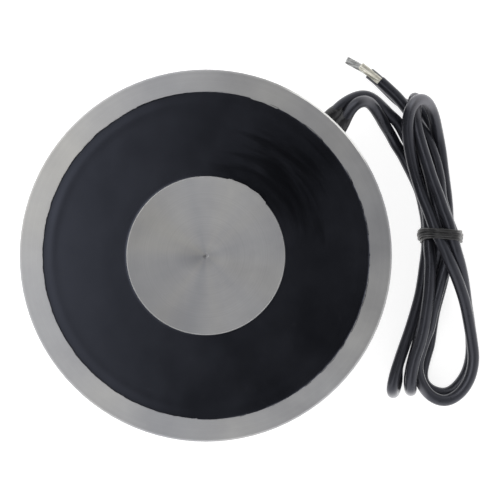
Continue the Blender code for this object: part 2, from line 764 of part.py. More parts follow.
def make_hank():
    """The folded leads as one solid, open in the big loop and drawn in under the band."""
    bm = prism(hank_outline(), 0.0, HANK_HEIGHT)
    rims = [e for e in bm.edges if abs(e.verts[0].co.z - e.verts[1].co.z) < MERGE_DISTANCE]
    bmesh.ops.recalc_face_normals(bm, faces=bm.faces)
    bmesh.ops.bevel(
        bm,
        geom=rims,
        offset=HANK_EDGE_ROUND,
        segments=2,
        profile=0.5,
        affect="EDGES",
        clamp_overlap=True,
    )
    hank = add_solid("lead_hank", bm, bpy.data.materials["black_pvc"])
    window = smooth_points(HANK_WINDOW, closed=True, steps=3)
    cut(hank, add_cutter("loop_window", prism(window, -GAP, HANK_HEIGHT + GAP)))
    half = BAND_WIDTH / 2 + GAP
    beyond = HANK_HEIGHT
    collar = [(-half, 0.0), (half, 0.0), (half, beyond), (-half, beyond)]
    cut(hank, add_cutter("waist_collar", ring_round_waist(collar)))


def make_band():
    """The elastic band: round strands side by side, wound round the waist."""
    pitch = BAND_WIDTH / BAND_TURNS
    steps = 4
    section = [(BAND_WIDTH / 2, GAP), (-BAND_WIDTH / 2, GAP)]
    for turn in range(BAND_TURNS):
        middle = -BAND_WIDTH / 2 + pitch * (turn + 0.5)
        for k in range(steps + 1 if turn == BAND_TURNS - 1 else steps):
            angle = math.pi * (1 - k / steps)
            bulge = BAND_THICKNESS * (0.6 + 0.4 * math.sin(angle))
            section.append((middle + pitch / 2 * math.cos(angle), GAP + bulge))
    add_solid("hank_band", ring_round_waist(section), bpy.data.materials["band_rubber"])


def make_materials():
    """The finishes, as they look in plain light."""
    make_material("steel", (0.33, 0.33, 0.34), 0.38, 1.0)
    make_material("resin", (0.016, 0.017, 0.022), 0.32)
    make_material("nylon", (0.55, 0.54, 0.50), 0.5)
    make_material("copper", (0.60, 0.24, 0.10), 0.3, 1.0)
    make_material("tape", (0.55, 0.42, 0.08), 0.5)
    make_material("sleeve", (0.03, 0.03, 0.03), 0.5)
    make_material("black_pvc", (0.024, 0.024, 0.028), 0.42)
    make_material("tinned_copper", (0.52, 0.51, 0.49), 0.35, 1.0)
    make_material("band_rubber", (0.035, 0.035, 0.036), 0.7)
    make_material("cutter", (0.8, 0.1, 0.1), 1.0)


def main():
    """Build every piece of the electromagnet."""
    clear_scene()
    make_materials()
    make_pot()
    make_bobbin()
    make_coil()
    make_splices()
    make_resin()
    make_seal()
    make_leads()
    make_hank()
    make_band()


main()
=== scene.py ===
"""The look of an 80 mm potted holding electromagnet, lying on its back with the pole face up."""

import json
import math

import bmesh
import bpy
import numpy as np
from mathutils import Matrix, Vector, noise


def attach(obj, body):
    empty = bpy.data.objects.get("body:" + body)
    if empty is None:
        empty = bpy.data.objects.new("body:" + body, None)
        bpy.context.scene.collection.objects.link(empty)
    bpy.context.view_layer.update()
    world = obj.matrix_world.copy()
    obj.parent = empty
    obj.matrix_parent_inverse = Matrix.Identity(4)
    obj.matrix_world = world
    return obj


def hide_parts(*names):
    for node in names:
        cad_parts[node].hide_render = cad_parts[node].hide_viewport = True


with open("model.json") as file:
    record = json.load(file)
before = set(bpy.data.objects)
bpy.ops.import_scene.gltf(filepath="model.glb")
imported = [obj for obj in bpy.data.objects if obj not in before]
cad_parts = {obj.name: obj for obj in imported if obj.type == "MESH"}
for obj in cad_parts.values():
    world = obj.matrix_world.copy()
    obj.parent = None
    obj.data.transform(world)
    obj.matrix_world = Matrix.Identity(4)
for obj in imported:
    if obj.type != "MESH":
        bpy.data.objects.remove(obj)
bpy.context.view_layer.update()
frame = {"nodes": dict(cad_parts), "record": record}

MM = 0.001

# Camera, straight above the pole face
CAMERA_PLACE = (9.5, 1.21, 268.0)
CAMERA_LENS = 77.2

# Pot, in millimetres
POT_RADIUS = 40.0
FACE_HEIGHT = 38.0
GROOVE_RADIUS = 35.2
CORE_RADIUS = 17.05
RESIN_FLOOR = 34.6
RESIN_RECESS = 0.4
THREAD_RADIUS = 4.0
THREAD_DEPTH = 13.6
THREAD_PITCH = 1.25
THREAD_RIDGE = 0.6
EXIT_AZIMUTH = math.radians(47)
EXIT_HEIGHT = 13.5

# Leads, in millimetres
LEAD_DIAMETER = 2.8
LEAD_SPACING = 3.1
LEAD_STEP = 1.4
LEAD_CLEARANCE = 2.93
SEAL_END_RADIUS = 45.0
SEAL_OVERRUN = 2.7
# How much of each lead's start and end keeps to its route
LEAD_1_HELD = (23, 12)
LEAD_2_HELD = (24, 10)

# Band, in millimetres: its place along the hank, and the leads' outermost middles under it
TIE_PLACE = 4.75
TIE_LEFT = 53.1
TIE_RIGHT = 59.0
HANK_FROM = 50.0
BAND_STRAND = 0.95
BAND_PITCH = 0.84
BAND_TURNS = 4
BAND_START = math.radians(215)
BAND_SUNK = 0.3
BAND_SQUARE = 2.6

# Routes of the two leads from the seal to the insulation's end, along their middle
LEAD_1_ROUTE = [
    (29.56, 33.97, 13.5), (31.5, 35.8, 13.1), (34.0, 37.35, 12.2), (36.5, 38.1, 11.3),
    (38.8, 37.6, 10.5), (41.0, 35.95, 9.5), (43.2, 34.0, 8.4), (45.6, 31.9, 7.6),
    (48.6, 27.0, 5.3), (49.8, 24.1, 4.6), (51.0, 20.7, 4.1), (52.0, 16.7, 4.1),
    (52.9, 12.5, 4.3), (53.7, 8.8, 4.7), (54.1, 4.8, 5.0), (54.4, 1.1, 5.6),
    (54.5, -1.8, 6.4), (54.1, -5.2, 7.2), (53.6, -9.1, 7.9), (52.8, -13.5, 8.2),
    (51.9, -18.2, 8.1), (50.8, -22.1, 8.0), (49.7, -25.2, 8.0), (49.0, -28.1, 8.1),
    (48.7, -30.5, 8.0), (48.8, -32.2, 7.3), (49.1, -33.3, 5.0), (49.2, -32.9, 2.4),
    (49.2, -30.8, 1.5), (49.8, -27.3, 1.5), (50.9, -22.8, 2.2), (52.2, -17.8, 3.0),
    (53.2, -13.3, 3.3), (54.4, -8.3, 3.4), (55.6, -2.8, 3.6), (56.5, 1.1, 4.3),
    (57.2, 4.8, 4.9), (55.9, 9.5, 5.4), (54.7, 14.2, 5.8), (53.5, 18.8, 5.9),
    (52.1, 23.2, 6.2), (51.0, 27.0, 6.6), (50.0, 30.6, 7.0), (49.4, 33.6, 7.2),
    (49.2, 36.0, 7.1), (49.3, 37.3, 7.6), (49.4, 37.9, 8.8), (49.45, 37.5, 10.1),
    (49.35, 36.1, 10.7), (49.3, 34.4, 10.4), (49.4, 32.3, 9.9), (50.0, 29.4, 9.5),
    (51.0, 25.8, 9.2),
    (52.1, 22.3, 9.0), (53.4, 18.2, 8.7), (55.0, 14.0, 8.3), (56.3, 10.4, 8.0),
    (57.6, 7.2, 7.9), (58.3, 4.8, 7.7), (59.4, 1.9, 6.8), (60.5, -1.3, 5.8),
    (61.6, -5.0, 4.6), (62.5, -9.0, 3.2), (63.2, -13.0, 2.1), (63.9, -16.8, 1.5),
    (64.3, -20.8, 1.4), (64.3, -24.3, 1.4), (63.9, -26.9, 1.4), (63.0, -29.5, 1.4),
    (61.5, -31.8, 1.4), (59.6, -33.6, 1.4), (57.6, -34.4, 1.4), (55.5, -34.1, 1.4),
    (53.5, -33.1, 1.4), (52.1, -31.3, 1.4), (51.9, -28.8, 1.4), (52.6, -25.5, 1.4),
    (53.5, -22.1, 1.4), (54.0, -18.1, 1.4), (54.7, -13.6, 1.4), (56.0, -8.7, 1.4),
    (57.0, -4.1, 1.5), (57.0, 0.7, 2.1), (56.2, 4.9, 2.5), (55.6, 10.4, 1.7),
    (54.9, 14.4, 1.4), (54.3, 18.6, 1.4), (53.8, 22.4, 1.4), (53.8, 25.8, 1.4),
    (54.3, 28.6, 1.4), (54.5, 31.2, 1.4), (53.8, 33.7, 1.4), (52.2, 35.7, 1.4),
    (50.0, 36.7, 1.4), (47.6, 37.6, 1.4), (45.6, 39.1, 1.5),
    (43.5, 41.2, 1.5), (41.3, 43.4, 1.5), (39.1, 45.2, 1.5),
]
LEAD_2_ROUTE = [
    (31.82, 31.85, 13.5), (33.35, 34.45, 14.2), (35.1, 36.05, 14.7), (37.1, 36.4, 14.4),
    (38.75, 35.4, 13.1), (40.35, 33.65, 11.0), (42.0, 31.6, 8.5), (43.8, 29.4, 6.2),
    (45.3, 27.1, 4.7), (46.9, 24.9, 4.1), (49.0, 21.8, 2.9), (50.7, 18.7, 1.9),
    (52.1, 15.4, 1.6), (52.9, 11.6, 1.8), (53.5, 7.4, 2.3), (53.5, 4.9, 2.5),
    (53.8, 1.6, 3.0), (53.6, -3.8, 4.2), (52.7, -9.0, 4.7), (51.3, -13.6, 4.8),
    (49.5, -18.5, 5.2), (47.4, -23.6, 6.0), (45.6, -28.1, 7.2), (44.8, -30.8, 7.7),
    (44.6, -32.7, 7.1), (45.1, -34.0, 4.7), (45.9, -33.5, 2.3), (46.6, -31.3, 1.5),
    (46.8, -27.8, 1.4), (48.5, -22.8, 1.4), (50.5, -17.8, 1.4), (52.0, -12.8, 1.4),
    (53.2, -7.6, 1.4), (54.7, -2.3, 1.6), (56.6, 1.6, 2.2), (58.7, 4.9, 2.5),
    (58.7, 8.4, 2.1), (58.3, 13.6, 1.5), (57.4, 19.1, 1.5), (56.4, 25.0, 1.9),
    (55.3, 29.2, 3.2), (54.2, 32.4, 6.0), (53.1, 34.6, 8.6), (51.9, 36.1, 10.8),
    (50.5, 36.9, 12.4), (49.2, 36.8, 13.0), (48.1, 35.7, 12.8), (47.5, 33.8, 12.0),
    (47.4, 31.0, 10.8), (48.0, 27.2, 9.6), (49.2, 22.8, 8.3), (50.7, 18.7, 7.2),
    (52.4, 14.3, 7.2), (53.7, 11.5, 7.4), (55.7, 6.5, 7.9), (56.7, 4.8, 8.0),
    (57.8, 2.9, 7.8), (58.9, 0.4, 7.6), (60.2, -2.8, 7.2), (61.5, -6.7, 6.7),
    (62.7, -11.1, 6.0), (63.6, -16.1, 5.2), (64.3, -21.0, 4.6), (64.6, -24.7, 4.5),
    (64.2, -27.8, 4.5), (63.2, -30.7, 4.5), (61.5, -33.2, 4.5), (59.4, -34.9, 4.5),
    (57.2, -35.6, 4.5), (55.0, -35.1, 4.5), (53.0, -33.7, 4.4), (51.5, -31.5, 4.3),
    (50.6, -29.0, 4.3), (50.4, -26.4, 4.2), (51.0, -23.8, 4.2), (51.9, -20.8, 4.2),
    (53.0, -17.6, 4.9), (53.7, -13.7, 5.5), (54.7, -9.5, 5.9), (55.9, -5.0, 6.1),
    (57.2, -0.8, 5.8), (58.7, 2.6, 5.3), (59.7, 4.8, 4.9), (58.4, 8.1, 4.5),
    (57.2, 11.5, 4.4), (56.5, 14.5, 4.4), (56.2, 18.2, 4.4), (55.5, 21.9, 4.3),
    (54.5, 25.4, 4.3), (53.2, 28.8, 4.3), (51.6, 31.5, 4.3), (50.0, 33.5, 4.3),
    (47.2, 36.9, 4.5), (45.8, 38.6, 4.6), (43.7, 40.6, 4.6), (41.4, 42.7, 4.6),
]
# Painted highlights on the tight bends of the insulation: the place's middle, its reach and shade
BEND_HIGHLIGHTS = [
    ((51.2, 37.4, 13.6), 6.2, "#858488"),
    ((45.1, -35.3, 5.4), 4.7, "#B8B7BA"),
    ((49.0, -35.0, 5.4), 4.7, "#B8B7BA"),
    ((37.6, 37.3, 15.6), 3.6, "#6E6D70"),
]
BARE_1_ROUTE = [(39.4, 44.95, 1.5), (37.8, 46.1, 1.5), (36.3, 46.95, 1.4), (33.5, 48.5, 1.2)]
BARE_2_ROUTE = [(41.7, 42.45, 4.6), (40.2, 43.7, 4.4), (39.0, 44.75, 4.2), (36.8, 46.6, 3.8)]


def set_camera():
    """The camera, straight above the pole face."""
    data = bpy.data.cameras.new("overhead_camera")
    data.lens = CAMERA_LENS
    data.clip_start = 0.01
    data.clip_end = 20.0
    camera = bpy.data.objects.new("overhead_camera", data)
    camera.location = Vector(CAMERA_PLACE) * MM
    bpy.context.scene.collection.objects.link(camera)
    bpy.context.scene.camera = camera


def smooth_line(points, steps=12):
    """A smooth curve through the points of a route."""
    points = np.array(points, float)
    last = len(points) - 1
    found = []
    for k in range(last):
        a, b, c, d = (points[min(max(k + shift, 0), last)] for shift in (-1, 0, 1, 2))
        for step in range(steps):
            t = step / steps
            found.append(
                0.5
                * (
                    2 * b
                    + (c - a) * t
                    + (2 * a - 5 * b + 4 * c - d) * t**2
                    + (3 * b - a - 3 * c + d) * t**3
                )
            )
    return np.array([*found, points[last]])


def rounded_line(points, rounds=2):
    """A line with its corners rounded off and its two ends kept."""
    for _ in range(rounds):
        found = np.repeat(points, 2, axis=0)[:-1]
        found[1::2] = (points[:-1] + points[1:]) / 2
        found[2:-1:2] = 0.75 * points[1:-1] + 0.125 * (points[:-2] + points[2:])
        points = found
    return points


def run_along(line):
    """The distance of each of a line's points from its start."""
    return np.concatenate([[0.0], np.cumsum(np.linalg.norm(np.diff(line, axis=0), axis=1))])


def even_line(line, step):
    """The line again, with its points at even distances."""
    run = run_along(line)
    places = np.linspace(0, run[-1], max(2, round(run[-1] / step)) + 1)
    return np.stack([np.interp(places, run, line[:, k]) for k in range(3)], axis=1)


def hold_ends(line, start, end, ease=5.0):
    """How freely each point may move: not at all over the lead's start and its end."""
    run = run_along(line)
    return np.clip(np.minimum(run - start, run[-1] - end - run) / ease, 0, 1)


def lowest_middle(points):
    """How low a lead's middle may lie: on the floor, or on the band where it runs under the leads."""
    half_band, ramp = 2.6, 7.0
    beside_tie = np.clip((np.abs(points[:, 1] - TIE_PLACE) - half_band) / ramp, 0, 1)
    lift = (1 - beside_tie) ** 2 * (3 - 2 * (1 - beside_tie)) * (BAND_STRAND + 0.1)
    return LEAD_DIAMETER / 2 + 0.02 + lift


def squeeze(place, free):
    """How far the band pushes each point sideways, towards the bundle's middle."""
    fade = np.clip(1.6 - np.abs(place[:, 1] - TIE_PLACE) / 3.5, 0, 1)
    near = fade * (place[:, 0] > HANK_FROM) * free
    return (np.clip(place[:, 0], TIE_LEFT, TIE_RIGHT) - place[:, 0]) * near


def settle(lines, free, rounds=640):
    """Push apart the stretches that lie in each other, as wires do when they are laid down."""
    neighbours, look_again, calm_rounds = 6, 20, 160
    less_sideways, drawn_back = (0.8, 0.8, 1.0), (0.998, 0.998, 0.9995)
    ends = np.cumsum([0] + [len(line) for line in lines])
    rest = np.concatenate(lines)
    shift = np.zeros_like(rest)
    free = np.concatenate(free)[:, None]
    lead = np.repeat(np.arange(len(lines)), np.diff(ends))
    number = np.arange(len(rest))
    apart = (lead[:, None] != lead) | (abs(number[:, None] - number) > neighbours)
    floor = lowest_middle(rest)
    for turn in range(rounds):
        place = rest + shift
        if turn % look_again == 0:
            gaps = np.linalg.norm(place[:, None] - place, axis=2)
            first, second = np.nonzero(np.triu(apart & (gaps < 1.6 * LEAD_DIAMETER)))
        between = place[first] - place[second]
        gap = np.linalg.norm(between, axis=1) + 1e-9
        lap = np.maximum(LEAD_CLEARANCE - gap, 0)
        push = between / gap[:, None] * lap[:, None] / 2
        met = np.zeros(len(rest))
        moved = np.zeros_like(rest)
        np.add.at(moved, first, push)
        np.add.at(moved, second, -push)
        np.add.at(met, first, lap > 0)
        np.add.at(met, second, lap > 0)
        shift += moved / np.maximum(met, 1)[:, None] * free * less_sideways
        shift[:, 0] += 0.5 * squeeze(rest + shift, free[:, 0])
        if turn < rounds - calm_rounds:
            shift *= drawn_back
        for start, end in zip(ends, ends[1:]):
            part = shift[start:end]
            part[1:-1] = 0.5 * part[1:-1] + 0.25 * (part[:-2] + part[2:])
        shift *= free
        shift[:, 2] = np.maximum(shift[:, 2], floor - rest[:, 2])
    place = rest + shift
    return [place[start:end] for start, end in zip(ends, ends[1:])]


def link(name, data):
    """Put new geometry in the scene, on the magnet's own body."""
    piece = bpy.data.objects.new(name, data)
    bpy.context.scene.collection.objects.link(piece)
    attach(piece, "root")
    return piece


def lead_cord(name, line):
    """A round lead along its settled line."""
    curve = bpy.data.curves.new(name, "CURVE")
    curve.dimensions = "3D"
    curve.bevel_depth = 1.0
    curve.bevel_resolution = 6
    curve.use_fill_caps = True
    fine = rounded_line(line) * MM
    spline = curve.splines.new("POLY")
    spline.points.add(len(fine) - 1)
    spline.points.foreach_set("co", np.c_[fine, np.ones(len(fine))].ravel())
    spline.points.foreach_set("radius", np.full(len(fine), LEAD_DIAMETER / 2 * MM))
    return link(name, curve)


def mesh_piece(name, bm, sharp_angle=40):
    """A mesh piece, shaded smooth up to an angle between its faces."""
    bmesh.ops.recalc_face_normals(bm, faces=bm.faces)
    mesh = bpy.data.meshes.new(name)
    bm.to_mesh(mesh)
    bm.free()
    mesh.shade_smooth()
    mesh.set_sharp_from_angle(angle=math.radians(sharp_angle))
    return link(name, mesh)


def join_rings(bm, rings, caps=True):
    """Skin a row of rings of points with faces, and close its two ends."""
    made = [[bm.verts.new(Vector(point) * MM) for point in ring] for ring in rings]
    for ring, following in zip(made, made[1:]):
        count = len(ring)
        for k in range(count):
            nxt = (k + 1) % count
            bm.faces.new((ring[k], ring[nxt], following[nxt], following[k]))
    if caps:
        bm.faces.new(made[0])
        bm.faces.new(made[-1])


def frames_along(line):
    """Each point of a line with its direction, a sideways and an upward direction."""
    found = []
    for k, point in enumerate(line):
        ahead = Vector(line[min(k + 1, len(line) - 1)] - line[max(k - 1, 0)]).normalized()
        sideways = ahead.cross(Vector((0, 0, 1))).normalized()
        found.append((Vector(point), ahead, sideways, sideways.cross(ahead)))
    return found


def tinned_end(name, route, strands, twist):
    """A bare end: twisted strands, soldered together and pressed a little flat."""
    line = even_line(smooth_line(route), 0.25)
    around = strands * 8
    last = len(line) - 1
    rings = []
    for k, (point, ahead, sideways, upward) in enumerate(frames_along(line)):
        share = k / last
        flat = 0.3 + 0.7 * min(1.0, share / 0.45)
        wide = 0.86 + 0.09 * flat
        high = 0.86 - 0.22 * flat
        cut = 0.985 if 0 < k < last else 0.9
        ring = []
        for j in range(around):
            angle = math.tau * j / around
            strand = abs(math.cos(strands * (angle - twist * share) / 2))
            solder = noise.noise(Vector((3 * angle, 5 * share, strands))) * 0.03
            reach = cut * (0.9 + 0.1 * strand + solder)
            uneven = 0.14 * noise.noise(Vector((4 * math.cos(angle), 4 * math.sin(angle), strands)))
            tip = uneven if k == last else 0
            ring.append(
                point
                + sideways * wide * reach * math.cos(angle)
                + upward * high * reach * math.sin(angle)
                + ahead * tip
            )
        rings.append(ring)
    bm = bmesh.new()
    join_rings(bm, rings)
    return mesh_piece(name, bm, 75)


def exit_point(radius, beside, height):
    """A point by the lead hole: its distance from the pot's axis, its place beside it, its height."""
    across = Vector((-math.sin(EXIT_AZIMUTH), math.cos(EXIT_AZIMUTH), 0.0))
    out = Vector((math.cos(EXIT_AZIMUTH), math.sin(EXIT_AZIMUTH), 0.0))
    return out * radius + across * beside + Vector((0, 0, height))


def resin_collar():
    """The resin that crept out round the leads: a lumpy foot on the wall that thins to a film."""
    steps, around = 30, 72
    start, end = POT_RADIUS - 0.3, SEAL_END_RADIUS + SEAL_OVERRUN
    rings = []
    for k in range(steps + 1):
        share = k / steps
        radius = start + (end - start) * share
        foot = max(0.0, 1 - share / 0.9) ** 1.8
        film = 0.26 * (1 - share) ** 0.7
        past = max(0.0, radius - SEAL_END_RADIUS) / SEAL_OVERRUN
        middle = 0.22 * past
        ring = []
        for j in range(around):
            angle = math.tau * j / around
            x, z = math.cos(angle), math.sin(angle)
            power = 2.2 + 0.6 * min(1.0, share / 0.4)
            reach = (abs(x) ** power + abs(z) ** power) ** (-1 / power)
            spread = 2.1 * foot if x < 0 else 0.7 * foot
            wide = (LEAD_SPACING + LEAD_DIAMETER) / 2 + film + spread - 0.42 * past
            high = LEAD_DIAMETER / 2 + film + 1.1 * foot
            waist = 1 - (0.16 + 0.22 * share) * math.exp(-((x / 0.24) ** 2))
            lump = 0.13 * noise.noise(Vector((1.6 * x, 1.6 * z, radius * 0.8)))
            lump += 0.05 * noise.noise(Vector((4 * x, 4 * z, radius * 2.2 + 7)))
            beside = middle + x * reach * (wide + lump * (1 - share))
            rise = z * reach * waist * (high + lump * (1 - share)) - 0.42 * past * x * reach
            lean = 0.5 * past if x < 0 else -1.3 * past
            ragged = 0.8 * noise.noise(Vector((2.4 * x, 2.4 * z, 3.0))) * past
            ring.append(exit_point(radius + ragged + lean, beside, EXIT_HEIGHT + rise))
        rings.append(ring)
    bm = bmesh.new()
    join_rings(bm, rings)
    return mesh_piece("resin_collar", bm, 60)


def resin_level(from_core, from_ring, x, y):
    """The height of the resin's face at its distances from the core and the ring, and its place."""
    radius = CORE_RADIUS + from_core
    swell = noise.noise(Vector((radius * x / 10, radius * y / 10, 2.0)))
    swell += 0.35 * noise.noise(Vector((radius * x / 4, radius * y / 4, 4.0)))
    shoulder = math.exp(-(((from_ring - 2.1) / 0.9) ** 2))
    shoulder *= 1 + 0.5 * noise.noise(Vector((2 * x, 2 * y, 6.0)))
    wetting = math.exp(-max(from_ring, 0.0) / 0.1) * 0.12
    wetting += math.exp(-max(from_core, 0.0) / 0.1) * 0.25
    return FACE_HEIGHT - RESIN_RECESS * (1 - wetting) + 0.024 * swell + 0.026 * shoulder


def cast_resin():
    """The cast resin's face: level between the poles, with a shoulder and a ragged edge at the ring."""
    around, across = 300, 44
    inner, outer = CORE_RADIUS, GROOVE_RADIUS
    rings = []
    for k in range(across + 1):
        share = k / across
        ease = share - math.sin(math.tau * share) / math.tau * 0.8
        ring = []
        for j in range(around):
            angle = math.tau * j / around
            x, y = math.cos(angle), math.sin(angle)
            ragged = noise.noise(Vector((7 * x, 7 * y, 1.0)))
            ragged += 0.6 * noise.noise(Vector((23 * x, 23 * y, 5.0)))
            high = outer - 0.02 + 0.09 * x + 0.16 * max(0.0, ragged + 0.1)
            low = inner + 0.05 + 0.04 * noise.noise(Vector((9 * x, 9 * y, 9.0)))
            radius = low + (high - low) * ease
            level = resin_level(radius - inner, outer - radius, x, y)
            if radius > outer:
                level = FACE_HEIGHT + 0.012
            ring.append((radius * x, radius * y, level))
        rings.append(ring)
    ways = [(math.cos(math.tau * j / around), math.sin(math.tau * j / around)) for j in range(around)]
    below_outer, below_inner = (
        [(radius * x, radius * y, RESIN_FLOOR) for x, y in ways]
        for radius in (outer - 0.3, inner + 0.3)
    )
    bm = bmesh.new()
    join_rings(bm, [*rings, below_outer, below_inner, rings[0]], caps=False)
    bmesh.ops.remove_doubles(bm, verts=bm.verts, dist=1e-7)
    return mesh_piece("cast_resin", bm, 60)


def face_burr(name, radius, way, spans, reach):
    """The burr that facing left: a ragged sliver of steel along an edge, out over the resin."""
    ease_length, sunk = 0.7, 0.2
    bm = bmesh.new()
    for start, end in spans:
        length = radius * math.radians(end - start)
        steps = int(length / 0.25)
        rings = []
        for k in range(steps + 1):
            angle = math.radians(start + (end - start) * k / steps)
            x, y = math.cos(angle), math.sin(angle)
            ragged = noise.noise(Vector((0.4 * radius * x, 0.4 * radius * y, radius)))
            ragged += 0.5 * noise.noise(Vector((1.3 * radius * x, 1.3 * radius * y, radius)))
            share = k / steps
            ease = min(1.0, length * share / ease_length, length * (1 - share) / ease_length)
            wide = (reach * (1 + 0.7 * ragged) + sunk) * ease - sunk
            section = [(-0.35, -0.004), (wide - 0.03, -0.02), (wide, -0.06)]
            section += [(wide - 0.05, -0.13), (-0.25, -0.3)]
            rings.append(
                [
                    ((radius + way * out) * x, (radius + way * out) * y, FACE_HEIGHT + rise)
                    for out, rise in section
                ]
            )
        join_rings(bm, rings)
    return mesh_piece(name, bm)


def mounting_thread():
    """The ridge of the M8 thread, wound up the bore in the back."""
    turns = THREAD_DEPTH / THREAD_PITCH
    steps, fade_steps = 40, 14
    rings = []
    for k in range(int(turns * steps) + 1):
        angle = math.tau * k / steps
        height = 0.4 + THREAD_PITCH * k / steps
        fade = min(1.0, k / fade_steps, (turns * steps - k) / fade_steps + 0.05)
        crest = -THREAD_RIDGE * fade
        section = [(0.06, -0.45), (crest, -0.07), (crest, 0.07), (0.06, 0.45)]
        rings.append(
            [
                (
                    (THREAD_RADIUS + reach) * math.cos(angle),
                    (THREAD_RADIUS + reach) * math.sin(angle),
                    max(0.05, height + rise),
                )
                for reach, rise in section
            ]
        )
    bm = bmesh.new()
    join_rings(bm, rings)
    return mesh_piece("mounting_thread", bm, 20)


def hull_of(points):
    """The convex outline round flat points, in turning order."""
    points = sorted(set(points))
    halves = []
    for row in (points, points[::-1]):
        half = []
        for point in row:
            while len(half) > 1:
                (ax, ay), (bx, by) = half[-2], half[-1]
                if (bx - ax) * (point[1] - ay) - (by - ay) * (point[0] - ax) > 0:
                    break
                half.pop()
            half.append(point)
        halves.append(half[:-1])
    return halves[0] + halves[1]


def wires_at(lines, place):
    """Where the leads cross a plane through the bundle, as (x, z)."""
    found = []
    for line in lines:
        for a, b in zip(line, line[1:]):
            if (a[1] - place) * (b[1] - place) < 0 and min(a[0], b[0]) > HANK_FROM:
                share = (place - a[1]) / (b[1] - a[1])
                found.append((a[0] + share * (b[0] - a[0]), a[2] + share * (b[2] - a[2])))
    return found


def reach_round(outline, middle, angle):
    """How far the outline lies from its middle in one direction."""
    out = (math.cos(angle), math.sin(angle))
    best = 0.0
    for (ax, ay), (bx, by) in zip(outline, outline[1:] + outline[:1]):
        ax, ay, bx, by = ax - middle[0], ay - middle[1], bx - middle[0], by - middle[1]
        cross = out[0] * (by - ay) - out[1] * (bx - ax)
        if abs(cross) < 1e-9:
            continue
        far = (ax * (by - ay) - ay * (bx - ax)) / cross
        share = (ax * out[1] - ay * out[0]) / cross
        if 0 <= share <= 1 and far > best:
            best = far
    return best


def elastic_band(lines):
    """The band: one rubber strand, wound round the folded leads, its turns bunched on top."""
    wires = wires_at(lines, TIE_PLACE)
    rim = [
        (x + LEAD_DIAMETER / 2 * math.cos(a), z + LEAD_DIAMETER / 2 * math.sin(a))
        for x, z in wires
        for a in np.linspace(0, math.tau, 24, endpoint=False)
    ]
    outline = hull_of(rim)
    middle = tuple(np.mean(outline, axis=0))
    steps, tuck_steps = 72, 10
    last = BAND_TURNS * steps
    path = []
    for k in range(last + 1):
        turn = k / steps
        angle = math.tau * turn + BAND_START
        up, right = math.sin(angle), math.cos(angle)
        over = 0.34 * max(0.0, up) * (int(turn + 0.4) % 2)
        tucked = 0.35 * (1 - min(1.0, k / tuck_steps, (last - k) / tuck_steps))
        bunched = 1 - ((turn - BAND_TURNS / 2) / (BAND_TURNS / 2)) ** 2
        round_end = (0.42 if right > 0 else 0.8) * bunched * abs(right) ** 3
        reach = reach_round(outline, middle, angle) + BAND_STRAND / 2 - BAND_SUNK
        reach += over - tucked + round_end
        # The turns are bunched on top, and cross it at a slant
        pitch = BAND_PITCH * (1 - 0.34 * max(0.0, up) + 0.04 * right - 0.10 * abs(right))
        slope = 0.42 * up - 0.34 * right * abs(right) - 0.5 * right * max(0.0, up)
        loose = 0.12 * noise.noise(Vector((turn * 2.1, 3.0, 0.0)))
        path.append(
            (
                middle[0] + reach * right,
                TIE_PLACE + (BAND_TURNS / 2 - turn) * pitch + slope + loose,
                max(middle[1] + reach * up, BAND_STRAND / 2 + 0.03),
            )
        )
    path = np.array(path)
    for _ in range(3):
        path[1:-1] = 0.5 * path[1:-1] + 0.25 * (path[:-2] + path[2:])
    rings = []
    for k, point in enumerate(path):
        ahead = Vector(path[min(k + 1, last)] - path[max(k - 1, 0)]).normalized()
        side = Vector((0, 1, 0))
        side = (side - ahead * side.dot(ahead)).normalized()
        up = ahead.cross(side)
        ring = []
        for j in range(16):
            angle = math.tau * j / 16
            x, y = math.cos(angle), math.sin(angle)
            reach = (abs(x) ** BAND_SQUARE + abs(y) ** BAND_SQUARE) ** (-1 / BAND_SQUARE)
            across = 0.5 * BAND_STRAND * 0.92 * reach * x
            deep = 0.5 * BAND_STRAND * 0.84 * reach * y
            ring.append(Vector(point) + side * across + up * deep)
        rings.append(ring)
    bm = bmesh.new()
    join_rings(bm, rings)
    return mesh_piece("elastic_band", bm, 60)


def linear(hexed):
    """A colour written as sRGB hex, turned to linear."""
    parts = [int(hexed[k : k + 2], 16) / 255 for k in (1, 3, 5)]
    return tuple(c / 12.92 if c <= 0.04045 else ((c + 0.055) / 1.055) ** 2.4 for c in parts) + (1.0,)


def add(material, kind, settings=None, sockets=None):
    """Add a node, set it up and fill its sockets, with constants or with other nodes' outputs."""
    tree = material.node_tree
    node = tree.nodes.new(kind)
    for name, value in (settings or {}).items():
        if name == "stops":
            ramp = node.color_ramp
            while len(ramp.elements) < len(value):
                ramp.elements.new(0.5)
            for element, (place, shade) in zip(ramp.elements, value):
                element.position = place
                element.color = linear(shade) if isinstance(shade, str) else (shade,) * 3 + (1.0,)
        else:
            setattr(node, name, value)
    for name, value in (sockets or {}).items():
        if isinstance(value, bpy.types.NodeSocket):
            tree.links.new(value, node.inputs[name])
        else:
            node.inputs[name].default_value = value
    return node


def clouds(material, place, size, detail, roughness=0.5, distortion=0.0):
    """Noise over a place, in clouds of a size in millimetres."""
    sockets = {"Vector": place, "Scale": 1 / (size * MM), "Detail": detail}
    sockets.update({"Roughness": roughness, "Distortion": distortion})
    return add(material, "ShaderNodeTexNoise", {}, sockets).outputs[0]


def picked(material, by, stops):
    """The shade or colour that a value picks from a row of stops."""
    return add(material, "ShaderNodeValToRGB", {"stops": stops}, {0: by}).outputs[0]


def worked_out(material, operation, *values):
    """The result of one step of arithmetic."""
    return add(material, "ShaderNodeMath", {"operation": operation}, dict(enumerate(values))).outputs[0]


def spread(material, value, *limits, kind="LINEAR"):
    """A value, moved from one pair of limits to another, or to 0 and 1."""
    sockets = dict(enumerate((value, *limits)))
    return add(material, "ShaderNodeMapRange", {"interpolation_type": kind}, sockets).outputs[0]


